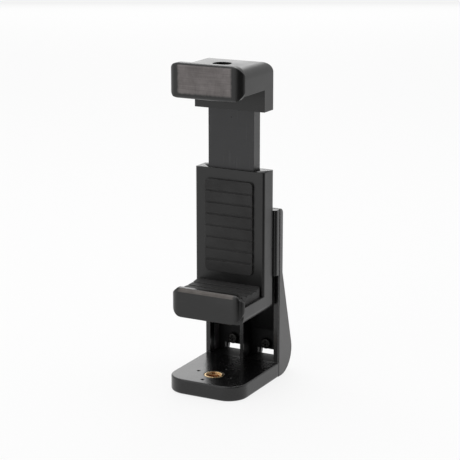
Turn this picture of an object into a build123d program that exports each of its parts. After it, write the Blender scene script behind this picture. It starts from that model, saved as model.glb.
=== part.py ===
from build123d import *
import math
import os

# Tripod phone mount adapter: a sprung clamp on an upright that stands on a short foot.
# Millimetres. X runs across the mount, Y to the rear, Z up. The origin is on the tripod
# thread's axis, at the foot's underside.

# Foot plate and upright
body_width = 32.0
foot_length = 35.2
foot_thickness = 6.0
foot_corner_radius = 8.0
foot_top_round = 0.6
foot_bottom_round = 0.9
socket_setback = 11.0
dimple_circle = 14.6
dimple_radius = 0.8
dimple_depth = 0.4
dimple_turn = 172.0
upright_height = 68.0
wall_thickness = 1.9
wall_lead = 1.2
wall_flange = 0.3
wall_edge_round = 0.15
reveal_depth = 0.5
backer_depth = 3.4
backer_corner_radius = 1.2
rib_thickness = 1.45
web_inset = 5.1
web_thickness = 1.6
pocket_top = 42.0

# Rear shell
shell_thickness = 1.6
hump_radius = 9.3
hump_lead = 2.2
hump_slope = 15.3
shell_top_depth = 2.8
shell_top_radius = 2.0
least_radius = 0.3
shell_edge_radius = 0.5
seam_break = 0.15
lap_length = 2.2
lap_thickness = 0.9
lap_gap = 0.1
shell_gap = 0.15
window_width = 8.2
window_height = 2.6
window_drop = 1.4
hook_width = 10.0
hook_depth = 1.2
hook_thickness = 1.2
hook_drop = 1.4
hook_gap = 0.2

# Clamp: jaws, lips and sleeve
clamp_inset = 1.2
clamp_depth = 24.9
lip_inset = 0.55
lip_thickness = 3.0
lip_side_radius = 3.8
lower_lip_height = 11.4
lower_lip_rise = 0.65
lower_lip_bevel = 1.3
lower_lip_top_chamfer = 3.0
lower_lip_bottom_radius = 5.8
lower_lip_underside_round = 0.5
shelf_bottom = 28.65
shelf_thickness = 6.85
shelf_edge_radius = 1.1
shelf_core_depth = 4.0
shelf_core_wall = 1.8
back_depth = 8.2
sleeve_rise = 16.0
sleeve_edge_radius = 1.0
sleeve_front_wall = 1.3
sleeve_screw_wall = 0.8
cavity_floor_wall = 4.0
cover_thickness = 1.6
cover_rise = 6.4

# Upper jaw
jaw_opening = 80.1
upper_lip_drop = 2.1
upper_lip_height = 13.3
upper_lip_corner_radius = 4.5
upper_lip_top_round = 0.9
upper_lip_bottom_round = 1.6
top_edge_radius = 4.0
rear_edge_radius = 1.2
skirt_length = 8.4
top_hole_diameter = 7.3
top_hole_skin = 1.4
top_hole_inset = 5.6
nut_flats = 11.11
nut_thickness = 5.56
nut_chamfer = 0.6
nut_gap = 0.1
nut_floor_wall = 1.64

# Slide and springs
slide_gap = 0.1
slide_engagement = 25.0
slide_socket_depth = 4.4
slide_end_chamfer = 1.0
spring_bore = 3.9
spring_diameter = 3.3
spring_wire = 0.6
spring_bore_cap = 7.5
spring_pin_drop = 3.0
spring_stem = 1.6
hook_ring_radius = 1.3
eye_facets = 8
anchor_pin_diameter = 1.8
anchor_pin_rise = 2.0
anchor_pin_seat = 0.9
spring_pin_diameter = 1.6
groove_width = 3.2
groove_depth = 2.6
jaw_travel_open = 10.0
jaw_travel_close = 21.5

# Pads
lower_pad_thickness = 4.2
lower_pad_inset = 1.1
lower_pad_dish = 0.8
upper_pad_thickness = 1.5
upper_pad_recess = 1.2
upper_pad_inset = 1.9
back_pad_inset = 4.6
back_pad_thickness = 1.0
back_pad_margin = 4.0
pad_gap = 0.2
pad_corner_radius = 1.5
pad_groove_width = 0.8
pad_groove_depth = 0.4
pad_groove_count = 3
back_groove_count = 7

# Threads and fasteners
socket_minor_radius = 2.6
insert_diameter = 7.8
insert_waist = 0.35
insert_groove = 1.2
insert_chamfer = 0.5
thread_chamfer = 0.6
fit_gap = 0.03
clearance_gap = 0.1
head_gap = 0.2
tip_gap = 0.2
web_screw_height = 11.0
web_screw_boss = 4.6
web_screw_diameter = 2.2
web_screw_head = 4.4
web_screw_head_height = 1.6
web_screw_length = 3.8
pocket_side_wall = 0.4
mount_screw_low = 0.3
mount_screw_high = 0.7
mount_screw_diameter = 2.2
mount_screw_head = 3.6
mount_screw_head_height = 1.4
cover_screw_drop = 4.5
cover_screw_diameter = 1.8
cover_screw_head = 3.2
stop_screw_diameter = 2.4
stop_screw_head = 4.2
stop_screw_head_height = 1.4
stop_screw_end_gap = 0.4
jaw_screw_rise = 0.9
screw_tip_wall = 1.0
recess_depth = 0.7
recess_width = 0.5
recess_reach = 0.3
rim_share = 0.45

# Length that runs past everything, for cuts
past = 200.0
# How far joined blocks run into each other
weld = 1.0
# Slack when an edge is picked by its place
near = 0.01

# Planes and levels that follow from the sizes above
half_width = body_width / 2
half_clamp = half_width - clamp_inset
half_lip = half_width - lip_inset
foot_front = -socket_setback
seam_y = foot_front + foot_length
wall_front = seam_y - wall_lead
inner_half = half_width - wall_thickness
lap_half = inner_half + lap_thickness
backing = shell_thickness + shell_gap
hump_y = seam_y + hump_lead
web_front = hump_y + hump_radius - web_inset
web_back = web_front + web_thickness
upper_shell_y = seam_y + shell_top_depth
clamp_back = seam_y - backer_depth
lip_back = clamp_back - clamp_depth
lip_front = lip_back - lip_thickness
back_front = clamp_back - back_depth
cavity_front = back_front + sleeve_front_wall
cavity_back = clamp_back - cover_thickness
cavity_mid = (cavity_front + cavity_back) / 2
shelf_top = shelf_bottom + shelf_thickness
lower_lip_bottom = shelf_bottom + lower_lip_rise
cavity_floor = shelf_bottom + cavity_floor_wall
anchor_pin_height = cavity_floor + anchor_pin_rise
sleeve_top = upright_height + sleeve_rise
cover_bottom = anchor_pin_height + cover_rise
cover_screw_height = sleeve_top - cover_screw_drop
backer_height = upright_height - pocket_top
shares = (mount_screw_low, mount_screw_high)
mount_screw_heights = [pocket_top + share * backer_height for share in shares]
side_screw_x = inner_half - lap_gap - pocket_side_wall - clearance_gap - mount_screw_head / 2
half_cavity = side_screw_x - mount_screw_diameter / 2 - sleeve_screw_wall
upper_underside = shelf_top + jaw_opening
nut_bottom = upper_underside + upper_pad_recess + nut_floor_wall
nut_top = nut_bottom + nut_thickness
upper_top = nut_top + top_hole_skin
upper_lip_bottom = upper_underside - upper_lip_drop
skirt_bottom = upper_underside - skirt_length
jaw_screw_height = upper_underside + jaw_screw_rise
slide_half = half_cavity - slide_gap
slide_front = cavity_front + slide_gap
slide_back = cavity_back - slide_gap
slide_bottom = sleeve_top - slide_engagement
slide_top = upper_underside + slide_socket_depth
spring_bore_top = slide_top - spring_bore_cap
spring_pin_height = spring_bore_top - spring_pin_drop
spring_x = (slide_half + groove_width / 2) / 2
web_screw_x = (inner_half + rib_thickness / 2) / 2
top_hole_y = back_front - top_hole_inset
mount_screw_seat = upper_shell_y - backing - mount_screw_head_height - head_gap
mount_screw_length = mount_screw_seat - back_front - screw_tip_wall - tip_gap
cover_screw_length = back_depth - screw_tip_wall - tip_gap
jaw_screw_length = clamp_back - slide_front - screw_tip_wall - tip_gap
slope = math.tan(math.radians(hump_slope))
slope_cos = math.cos(math.radians(hump_slope))
slope_sin = math.sin(math.radians(hump_slope))


def block(x0, x1, y0, y1, z0, z1):
    """A box between two corners."""
    size = (x1 - x0, y1 - y0, z1 - z0)
    return Pos((x0 + x1) / 2, (y0 + y1) / 2, (z0 + z1) / 2) * Box(*size)


def side_slab(points, half):
    """A side-view outline (Y, Z) carried out to both sides of the middle."""
    face = make_face(Polyline(*points, close=True))
    return extrude(Plane.YZ * face, half, both=True)


def front_slab(face, y0, y1):
    """A front-view outline (X, Z) carried from y0 back to y1."""
    return extrude(Plane.XZ.offset(-y1) * face, y1 - y0)


def plan_slab(face, z0, z1):
    """A plan outline (X, Y) carried from z0 up to z1."""
    return extrude(Plane.XY.offset(z0) * face, z1 - z0)


def rod_y(x, z, radius, y0, y1):
    """A round bar along Y."""
    return Pos(x, (y0 + y1) / 2, z) * Rot(90, 0, 0) * Cylinder(radius, y1 - y0)


def rod_x(y, z, radius, half):
    """A round bar along X, half long to each side of the middle."""
    return Pos(0, y, z) * Rot(0, 90, 0) * Cylinder(radius, 2 * half)


def cone_y(x, z, r0, r1, y0, y1):
    """A cone along Y, with radius r0 at y0 and r1 at y1."""
    return Pos(x, (y0 + y1) / 2, z) * Rot(-90, 0, 0) * Cone(r0, r1, y1 - y0)


def rod_z(x, y, radius, z0, z1):
    """A round bar along Z."""
    return Pos(x, y, (z0 + z1) / 2) * Cylinder(radius, z1 - z0)


def edges_along(shape, axis, test):
    """The straight edges parallel to an axis whose middle passes a test."""
    return [edge for edge in shape.edges().filter_by(axis) if test(edge.center())]


def cross_recess(x, y, z, head, sign):
    """The cross cut in a screw head that faces along -Y (sign -1) or +Y (sign 1)."""
    arm = head * recess_reach
    y0, y1 = sorted((y, y - sign * recess_depth))
    half = recess_width / 2
    flat = block(x - arm, x + arm, y0, y1, z - half, z + half)
    return flat + block(x - half, x + half, y0, y1, z - arm, z + arm)


def shell_profile(inset):
    """Side outline of the upright's back, moved inwards by inset: a rounded heel at the
    foot, a straight slope, and a flat top part."""
    radius = hump_radius - inset
    heel = (hump_y + radius * slope_cos, hump_radius + radius * slope_sin)
    flat_y = upper_shell_y - inset
    knee = (flat_y, heel[1] + (heel[0] - flat_y) / slope)
    top = upright_height - inset
    corner = max(shell_top_radius - inset, least_radius)
    mid = math.radians((hump_slope - 90) / 2)
    heel_mid = (hump_y + radius * math.cos(mid), hump_radius + radius * math.sin(mid))
    arc_mid = (flat_y - corner * (1 - math.sqrt(0.5)), top - corner * (1 - math.sqrt(0.5)))
    outline = [
        Line((seam_y, inset), (hump_y, inset)),
        ThreePointArc((hump_y, inset), heel_mid, heel),
        Line(heel, knee),
        Line(knee, (flat_y, top - corner)),
        ThreePointArc((flat_y, top - corner), arc_mid, (flat_y - corner, top)),
        Line((flat_y - corner, top), (seam_y, top)),
        Line((seam_y, top), (seam_y, inset)),
    ]
    return make_face(outline)


def shell_body(inset, half):
    """The upright's back, moved inwards by inset and half wide to each side."""
    return extrude(Plane.YZ * shell_profile(inset), half, both=True)


def windows():
    """Two slots that run through the web and the shell at the foot of the pockets."""
    z0 = foot_thickness
    z1 = z0 + window_height
    slots = []
    for side in (-1, 1):
        x0 = side * web_screw_x - window_width / 2
        x1 = x0 + window_width
        slots.append(block(x0, x1, web_front - weld, web_back + shell_gap, z0, z1))
        slots.append(block(x0, x1, web_back + shell_gap, past, z0 - window_drop, z1))
    return slots


def make_foot_bracket():
    """Foot plate, two side walls, middle rib, sloping web and the block behind the clamp."""
    top = upright_height
    inner = inner_half - lap_gap
    inside = shell_body(backing, inner)
    bracket = make_foot_plate() + (inside & block(-inner, inner, seam_y, web_back, 0, foot_thickness))

    lap_room = shell_body(backing, lap_half)
    lap_room += block(-lap_half, lap_half, wall_front, seam_y, 0, top - backing)
    for side in (-1, 1):
        x0, x1 = sorted((side * inner_half, side * half_width))
        wall = block(x0, x1, wall_front, seam_y, foot_thickness - weld, top)
        corner = edges_along(wall, Axis.Z, lambda c: c.Y < wall_front + near)
        corner = [edge for edge in corner if abs(edge.center().X) > half_width - near]
        bracket += fillet(corner, wall_edge_round)
        x0, x1 = sorted((side * inner_half, side * lap_half))
        bracket += lap_room & block(x0, x1, wall_front, seam_y + lap_length, foot_thickness - weld, top)

    knee = web_knee()
    slope_web = inside - shell_body(backing + web_thickness, half_width)
    slope_web &= block(-inner, inner, seam_y, web_back, knee - web_thickness, pocket_top + weld)
    bracket += slope_web + (inside & block(-inner, inner, web_front, web_back, 0, knee))
    half_rib = rib_thickness / 2
    rib_back = web_front + web_thickness / 2
    rib = block(-half_rib, half_rib, wall_front, rib_back, foot_thickness - weld, pocket_top + weld)
    bracket += rib & (inside + block(-half_rib, half_rib, wall_front, seam_y, 0, top))

    backer = block(-half_width, half_width, clamp_back, seam_y, pocket_top, top)
    backer = fillet(edges_along(backer, Axis.Z, lambda c: c.Y < seam_y - near), backer_corner_radius)
    bracket += backer + (inside & block(-inner, inner, seam_y, past, pocket_top, top))
    for side in (-1, 1):
        x0, x1 = sorted((side * (half_width - reveal_depth), side * past))
        bracket -= block(x0, x1, wall_front + wall_flange, seam_y, foot_thickness, past)

    bracket -= rod_z(0, 0, insert_diameter / 2 + fit_gap, -weld, foot_thickness + weld)
    bracket -= windows()
    for side in (-1, 1):
        x = side * web_screw_x
        hole = web_screw_diameter / 2 + clearance_gap
        bracket -= rod_y(x, web_screw_height, hole, web_front - weld, web_back + weld)
        x = side * side_screw_x
        for height in mount_screw_heights:
            hole = mount_screw_diameter / 2 + clearance_gap
            bracket -= rod_y(x, height, hole, clamp_back - weld, past)
            pocket = mount_screw_head / 2 + clearance_gap
            bracket -= rod_y(x, height, pocket, mount_screw_seat, past)
    half_slot = hook_width / 2 + hook_gap
    slot_z0 = top - backing - hook_drop
    slot_z1 = slot_z0 + hook_thickness + shell_gap
    bracket -= block(-half_slot, half_slot, seam_y - hook_depth - hook_gap, past, slot_z0, slot_z1)
    return bracket


def make_foot_plate():
    """The foot's plate, with rounded front corners, soft edges and four dimples by the insert."""
    plate = block(-half_width, half_width, foot_front, seam_y, 0, foot_thickness)
    plate = fillet(edges_along(plate, Axis.Z, lambda c: c.Y < 0), foot_corner_radius)
    for z, radius in ((foot_thickness, foot_top_round), (0, foot_bottom_round)):
        rim = [e for e in plate.edges() if abs(e.center().Z - z) < near]
        rim = [e for e in rim if e.center().Y < seam_y - near]
        plate = fillet(rim, radius)
    for index in range(4):
        turn = math.radians(dimple_turn + 90 * index)
        x = dimple_circle / 2 * math.cos(turn)
        y = dimple_circle / 2 * math.sin(turn)
        point = Cone(0, dimple_radius, dimple_depth)
        plate -= Pos(x, y, foot_thickness - dimple_depth / 2) * point
    return plate


def web_knee():
    """Height where the upright web meets the slope."""
    heel_y = hump_y + (hump_radius - backing) * slope_cos
    heel_z = hump_radius + (hump_radius - backing) * slope_sin
    return heel_z + (heel_y - web_back) / slope


def make_rear_shell():
    """The humped cover that closes the upright's back, with its screw bosses."""
    shell = shell_body(0, half_width)
    outer = [e for e in shell.edges() if abs(abs(e.center().X) - half_width) < near]
    outer = [e for e in outer if e.center().Y > seam_y + near]
    shell = fillet(outer, shell_edge_radius)
    front = [e for e in shell.edges() if abs(e.center().Y - seam_y) < near]
    shell = chamfer(front, seam_break)
    shell -= shell_body(shell_thickness, inner_half)
    lap = shell_body(shell_thickness, lap_half + lap_gap)
    lap_bottom = foot_thickness - weld - lap_gap
    shell -= lap & block(-past, past, seam_y, seam_y + lap_length + lap_gap, lap_bottom, past)
    for side in (-1, 1):
        x = side * web_screw_x
        boss = rod_y(x, web_screw_height, web_screw_boss / 2, web_back + shell_gap, past)
        shell += boss & shell_body(shell_thickness / 2, inner_half)
    hook_z1 = upright_height - shell_thickness - hook_drop + hook_thickness - shell_gap
    hook_y1 = upper_shell_y - shell_thickness / 2
    shell += block(-hook_width / 2, hook_width / 2, seam_y - hook_depth, hook_y1,
                   hook_z1 - hook_thickness, hook_z1)
    shell -= windows()
    for side in (-1, 1):
        tip = web_front + web_screw_length + tip_gap
        hole = web_screw_diameter / 2 + fit_gap
        shell -= rod_y(side * web_screw_x, web_screw_height, hole, web_back - weld, tip)
    return shell


def make_tripod_insert():
    """Brass insert with a waist, for a quarter-inch tripod screw."""
    radius = insert_diameter / 2
    ring = rod_z(0, 0, radius, 0, foot_thickness)
    rims = ring.edges().filter_by(GeomType.CIRCLE)
    ring = chamfer(rims, insert_chamfer)
    mid = foot_thickness / 2
    groove = rod_z(0, 0, radius + weld, mid - insert_groove / 2, mid + insert_groove / 2)
    ring -= groove - rod_z(0, 0, radius - insert_waist, 0, foot_thickness)
    ring -= rod_z(0, 0, socket_minor_radius, -weld, foot_thickness + weld)
    mouth = Cone(socket_minor_radius, socket_minor_radius + thread_chamfer, thread_chamfer)
    return ring - Pos(0, 0, foot_thickness - thread_chamfer / 2) * mouth


def machine_screw(x, z, head_y, sign, length, diameter, head, head_height, ease):
    """A screw whose head sits at head_y and faces along sign * Y. Its rim is eased by a
    fillet for a pan head, or by a chamfer for a cheese head."""
    h0, h1 = sorted((head_y, head_y + sign * head_height))
    top = rod_y(x, z, head / 2, h0, h1)
    outer = head_y + sign * head_height
    rim = [e for e in top.edges().filter_by(GeomType.CIRCLE) if abs(e.center().Y - outer) < near]
    top = ease(rim, head_height * rim_share)
    s0, s1 = sorted((head_y, head_y - sign * length))
    return top + rod_y(x, z, diameter / 2, s0, s1) - cross_recess(x, outer, z, head, sign)


def flat_screw(x, z, face_y, length, diameter, head):
    """A countersunk screw whose head is flush with a face that looks along +Y."""
    cone = cone_y(x, z, diameter / 2, head / 2, face_y - (head - diameter) / 2, face_y)
    shank = rod_y(x, z, diameter / 2, face_y - length, face_y - fit_gap)
    return cone + shank - cross_recess(x, face_y, z, head, 1)


def make_web_screws():
    """The two screws seen at the back of the pockets."""
    return [machine_screw(side * web_screw_x, web_screw_height, web_front, -1, web_screw_length,
                          web_screw_diameter, web_screw_head, web_screw_head_height, fillet)
            for side in (-1, 1)]


def make_mount_screws():
    """Four screws that hold the clamp's housing and its cover to the upright."""
    return [machine_screw(side * side_screw_x, height, mount_screw_seat, 1, mount_screw_length,
                          mount_screw_diameter, mount_screw_head, mount_screw_head_height, chamfer)
            for side in (-1, 1) for height in mount_screw_heights]


def make_cover_screws():
    """Two countersunk screws at the top of the housing's cover."""
    return [flat_screw(side * side_screw_x, cover_screw_height, clamp_back, cover_screw_length,
                       cover_screw_diameter, cover_screw_head) for side in (-1, 1)]


def make_stop_screw():
    """The screw that runs in the slide's groove and stops the jaw at both ends."""
    length = cover_thickness + slide_gap + groove_depth - stop_screw_end_gap
    return machine_screw(0, cover_screw_height, clamp_back, 1, length, stop_screw_diameter,
                         stop_screw_head, stop_screw_head_height, fillet)


def lip_blank(face, z0, z1, low_round):
    """A jaw's lip: its front outline, with round front corners and a soft lower front edge."""
    half = half_lip
    plan = block(-half, half, lip_front, lip_back + lip_side_radius, z0, z1)
    plan = fillet(edges_along(plan, Axis.Z, lambda c: c.Y < lip_front + near), lip_side_radius)
    side = block(-past, past, lip_front, lip_back, z0, z1)
    front = edges_along(side, Axis.X, lambda c: c.Y < lip_front + near and c.Z < z0 + near)
    side = fillet(front, low_round)
    return plan & side & front_slab(face, lip_front, lip_back)


def make_clamp_housing():
    """Lower jaw with its lip and shelf, and the sleeve that the slide runs in."""
    z0 = lower_lip_bottom
    z1 = z0 + lower_lip_height
    face = Pos(0, (z0 + z1) / 2) * Rectangle(2 * half_lip, lower_lip_height)
    face = chamfer([v for v in face.vertices() if v.Y > z1 - near], lower_lip_top_chamfer)
    face = fillet([v for v in face.vertices() if v.Y < z0 + near], lower_lip_bottom_radius)
    lip = lip_blank(face, z0, z1, lower_lip_underside_round)
    bevel = [(lip_front - weld, z1 - lower_lip_bevel - weld), (lip_front + lower_lip_bevel, z1),
             (lip_front + lower_lip_bevel, z1 + weld), (lip_front - weld, z1 + weld)]
    lip -= side_slab(bevel, body_width)

    shelf = block(-half_clamp, half_clamp, lip_back - weld, clamp_back, shelf_bottom, sleeve_top)
    shelf -= block(-past, past, -past, back_front, shelf_top, past)
    shelf = fillet(edges_along(shelf, Axis.Z, lambda c: c.Y > clamp_back - near), sleeve_edge_radius)
    shelf = fillet(edges_along(shelf, Axis.Y, lambda c: c.Z < shelf_bottom + near), shelf_edge_radius)
    front = edges_along(shelf, Axis.Z, lambda c: abs(c.Y - back_front) < near)
    shelf = fillet(front, sleeve_edge_radius)
    shelf -= block(-past, past, -past, lip_back, shelf_bottom - weld, lower_lip_bottom)

    housing = lip + shelf
    housing -= block(-half_cavity, half_cavity, cavity_front, cavity_back, cavity_floor, past)
    housing -= block(-past, past, cavity_back, past, cover_bottom, past)
    housing -= shelf_cores()
    for side in (-1, 1):
        x = side * spring_x
        pin_hole = anchor_pin_diameter / 2 + fit_gap
        housing -= rod_y(x, anchor_pin_height, pin_hole, cavity_front - anchor_pin_seat, past)
        x = side * side_screw_x
        tip = mount_screw_seat - mount_screw_length - tip_gap
        for height in mount_screw_heights:
            housing -= rod_y(x, height, mount_screw_diameter / 2 + fit_gap, tip, past)
        tip = clamp_back - cover_screw_length - tip_gap
        housing -= rod_y(x, cover_screw_height, cover_screw_diameter / 2 + fit_gap, tip, past)
    return housing


def shelf_cores():
    """The hollows in the lower jaw's underside, between its ribs."""
    y0 = lip_back + shelf_core_wall
    y1 = back_front - shelf_core_wall / 2
    middle = (y0 + y1) / 2
    z1 = shelf_bottom + shelf_core_depth
    half_rib = shelf_core_wall / 2
    cores = []
    for side in (-1, 1):
        x0, x1 = sorted((side * half_rib, side * (half_clamp - shelf_core_wall)))
        for low, high in ((y0, middle - half_rib), (middle + half_rib, y1)):
            cores.append(block(x0, x1, low, high, shelf_bottom - weld, z1))
    return cores


def make_housing_cover():
    """The plate that closes the back of the sleeve."""
    cover = block(-half_clamp, half_clamp, cavity_back, clamp_back, cover_bottom, sleeve_top)
    cover = fillet(edges_along(cover, Axis.Z, lambda c: c.Y > clamp_back - near), sleeve_edge_radius)
    radius = cover_screw_diameter / 2 + fit_gap
    rim = cover_screw_head / 2 + fit_gap
    for side in (-1, 1):
        x = side * side_screw_x
        for height in mount_screw_heights:
            hole = mount_screw_diameter / 2 + clearance_gap
            cover -= rod_y(x, height, hole, cavity_back - weld, clamp_back + weld)
        cover -= cone_y(x, cover_screw_height, radius, rim, clamp_back - (rim - radius), clamp_back)
        cover -= rod_y(x, cover_screw_height, radius, cavity_back - weld, clamp_back)
    hole = stop_screw_diameter / 2 + fit_gap
    return cover - rod_y(0, cover_screw_height, hole, cavity_back - weld, clamp_back + weld)


def pad_blank(half, y0, y1, z0, z1):
    """A rubber pad's block, with rounded corners in plan."""
    pad = block(-half, half, y0, y1, z0, z1)
    return fillet(pad.edges().filter_by(Axis.Z), pad_corner_radius)


def pad_grooves(y0, y1, z):
    """Shallow grooves across a pad's face at height z."""
    step = (y1 - y0) / (pad_groove_count + 1)
    half = pad_groove_width / 2
    z0, z1 = z - pad_groove_depth, z + pad_groove_depth
    middles = [y0 + step * (index + 1) for index in range(pad_groove_count)]
    return [block(-past, past, y - half, y + half, z0, z1) for y in middles]


def make_lower_jaw_pad():
    """Thick rubber rest on the lower jaw's shelf, dished from front to back."""
    y0 = lip_back + pad_gap
    y1 = back_front - pad_gap
    z1 = shelf_top + lower_pad_thickness
    pad = pad_blank(half_clamp - lower_pad_inset, y0, y1, shelf_top, z1)
    chord = (y1 - y0) / 2
    radius = (chord ** 2 + lower_pad_dish ** 2) / (2 * lower_pad_dish)
    dish = Pos(0, (y0 + y1) / 2, z1 + radius - lower_pad_dish) * Rot(0, 90, 0) * Cylinder(radius, past)
    pad -= dish
    return pad - pad_grooves(y0, y1, z1 - lower_pad_dish)


def make_back_pad():
    """Rubber strip on the sleeve's front, behind the clamped thing."""
    half = half_clamp - back_pad_inset
    y0 = back_front - back_pad_thickness
    z0 = shelf_top + lower_pad_thickness + back_pad_margin
    z1 = sleeve_top - back_pad_margin
    strip = block(-half, half, y0, back_front, z0, z1)
    strip = fillet(strip.edges().filter_by(Axis.Y), pad_corner_radius)
    step = (z1 - z0) / (back_groove_count + 1)
    rim = pad_groove_width / 2
    for index in range(back_groove_count):
        z = z0 + step * (index + 1)
        strip -= block(-past, past, y0 - pad_groove_depth, y0 + pad_groove_depth, z - rim, z + rim)
    return strip


def make_upper_jaw():
    """Lip, body and rear skirt of the sliding jaw."""
    z0 = upper_lip_bottom
    z1 = z0 + upper_lip_height
    face = Pos(0, (z0 + z1) / 2) * Rectangle(2 * half_lip, upper_lip_height)
    face = fillet(face.vertices(), upper_lip_corner_radius)
    lip = lip_blank(face, z0, z1, upper_lip_bottom_round)
    brow = block(-past, past, lip_front, past, 0, z1)
    brow = fillet(edges_along(brow, Axis.X, lambda c: c.Y < lip_front + near and c.Z > z1 - near),
                  upper_lip_top_round)
    lip &= brow

    body = block(-half_clamp, half_clamp, lip_back - weld, clamp_back, skirt_bottom, upper_top)
    body -= block(-past, past, -past, back_front, skirt_bottom - weld, upper_underside)
    high = [e for e in body.edges() if e.center().Z > upper_top - near]
    high = [e for e in high if e.center().Y > lip_back - weld + near]
    body = fillet(high, top_edge_radius)
    body = fillet(edges_along(body, Axis.Z, lambda c: c.Y > clamp_back - near), rear_edge_radius)

    jaw = lip + body
    x = slide_half + fit_gap
    y0, y1 = slide_front - fit_gap, slide_back + fit_gap
    jaw -= block(-x, x, y0, y1, skirt_bottom - weld, slide_top + fit_gap)
    recess_top = upper_underside + upper_pad_recess
    jaw -= pad_blank(half_clamp - upper_pad_inset, lip_back + pad_gap, back_front - upper_pad_inset,
                     upper_underside - weld, recess_top)
    jaw -= hex_prism(nut_flats + 2 * nut_gap, upper_underside, nut_top)
    jaw -= rod_z(0, top_hole_y, top_hole_diameter / 2, nut_top - weld, upper_top + weld)
    radius = cover_screw_diameter / 2 + fit_gap
    rim = cover_screw_head / 2 + fit_gap
    for side in (-1, 1):
        x = side * spring_x
        jaw -= cone_y(x, jaw_screw_height, radius, rim, clamp_back - (rim - radius), clamp_back)
        jaw -= rod_y(x, jaw_screw_height, radius, slide_back - weld, clamp_back)
    return jaw


def hex_prism(flats, z0, z1):
    """A hexagonal prism on the top hole's axis."""
    face = Pos(0, top_hole_y) * RegularPolygon(flats / 2, 6, major_radius=False)
    return plan_slab(face, z0, z1)


def make_accessory_nut():
    """Quarter-inch hex nut held under the hole in the upper jaw's top."""
    nut = hex_prism(nut_flats, nut_bottom, nut_top)
    corner_radius = nut_flats / math.sqrt(3)
    crown = rod_z(0, top_hole_y, corner_radius, nut_bottom, nut_top)
    nut &= chamfer(crown.edges().filter_by(GeomType.CIRCLE), nut_chamfer)
    return nut - rod_z(0, top_hole_y, socket_minor_radius, 0, past)


def make_slide_tongue():
    """The flat slide that carries the upper jaw, with two spring bores and a stop groove."""
    slide = block(-slide_half, slide_half, slide_front, slide_back, slide_bottom, slide_top)
    ends = edges_along(slide, Axis.Y, lambda c: c.Z < slide_bottom + near)
    slide = chamfer(ends, slide_end_chamfer)
    for side in (-1, 1):
        x = side * spring_x
        slide -= rod_z(x, cavity_mid, spring_bore / 2, slide_bottom - weld, spring_bore_top)
        tip = clamp_back - jaw_screw_length - tip_gap
        slide -= rod_y(x, jaw_screw_height, cover_screw_diameter / 2 + fit_gap, tip, past)
    slide -= rod_x(cavity_mid, spring_pin_height, spring_pin_diameter / 2 + fit_gap, slide_half + weld)
    low = cover_screw_height - jaw_travel_open - groove_width / 2
    high = cover_screw_height + jaw_travel_close + groove_width / 2
    groove = Pos(0, (low + high) / 2) * SlotOverall(high - low, groove_width, rotation=90)
    return slide - front_slab(groove, slide_back - groove_depth, slide_back + weld)


def make_jaw_screws():
    """Two countersunk screws that hold the upper jaw to the slide."""
    return [flat_screw(side * spring_x, jaw_screw_height, clamp_back, jaw_screw_length,
                       cover_screw_diameter, cover_screw_head) for side in (-1, 1)]


def make_upper_jaw_pad():
    """Thin rubber pad let into the upper jaw's underside."""
    z1 = upper_underside + upper_pad_recess
    z0 = z1 - upper_pad_thickness
    y0 = lip_back + 2 * pad_gap
    y1 = back_front - upper_pad_inset - pad_gap
    pad = pad_blank(half_clamp - upper_pad_inset - pad_gap, y0, y1, z0, z1)
    return pad - pad_grooves(y0, y1, z0)


def make_spring_pin():
    """Steel pin across the slide that both springs hook over."""
    return rod_x(cavity_mid, spring_pin_height, spring_pin_diameter / 2, slide_half)


def make_lower_spring_pins():
    """Two steel pins pressed in from the housing's back, one in each spring's lower eye."""
    return [rod_y(side * spring_x, anchor_pin_height, anchor_pin_diameter / 2,
                  cavity_front - anchor_pin_seat, clamp_back) for side in (-1, 1)]


def hook_ring(x, z, along_x):
    """The eye at one end of a spring, round a bar that runs along Y or along X."""
    section = Pos(hook_ring_radius, 0) * RegularPolygon(spring_wire / 2, eye_facets, major_radius=False)
    ring = revolve(Plane.XZ * section, Axis.Z)
    turn = Rot(0, 90, 0) if along_x else Rot(90, 0, 0)
    return Pos(x, cavity_mid, z) * turn * ring


def make_spring(side):
    """An extension spring: its closed coil as a tube, with an eye at each end."""
    x = side * spring_x
    outer = spring_diameter / 2
    low_eye = anchor_pin_height + hook_ring_radius
    high_eye = spring_pin_height - hook_ring_radius
    low = low_eye + spring_stem
    high = high_eye - spring_stem
    coil = rod_z(x, cavity_mid, outer, low, high)
    coil -= rod_z(x, cavity_mid, outer - spring_wire, low + spring_wire, high - spring_wire)
    coil += rod_z(x, cavity_mid, spring_wire / 2, low_eye, low + spring_wire / 2)
    coil += rod_z(x, cavity_mid, spring_wire / 2, high - spring_wire / 2, high_eye)
    coil += hook_ring(x, anchor_pin_height, False)
    return coil + hook_ring(x, spring_pin_height, True)


def group(solids):
    """Separate like solids in one node."""
    return Compound(children=list(solids))


nodes = {
    "foot_bracket": make_foot_bracket(),
    "rear_shell": make_rear_shell(),
    "tripod_insert": make_tripod_insert(),
    "web_screws": group(make_web_screws()),
    "mount_screws": group(make_mount_screws()),
    "clamp_housing": make_clamp_housing(),
    "housing_cover": make_housing_cover(),
    "cover_screws": group(make_cover_screws()),
    "stop_screw": make_stop_screw(),
    "lower_jaw_pad": make_lower_jaw_pad(),
    "back_pad": make_back_pad(),
    "lower_spring_pins": group(make_lower_spring_pins()),
    "spring_left": make_spring(-1),
    "spring_right": make_spring(1),
    "upper_jaw": make_upper_jaw(),
    "slide_tongue": make_slide_tongue(),
    "jaw_screws": group(make_jaw_screws()),
    "upper_jaw_pad": make_upper_jaw_pad(),
    "accessory_nut": make_accessory_nut(),
    "spring_pin": make_spring_pin(),
}

os.makedirs("parts", exist_ok=True)
for name, shape in nodes.items():
    export_step(shape, f"parts/{name}.step")
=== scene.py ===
import math

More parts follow.
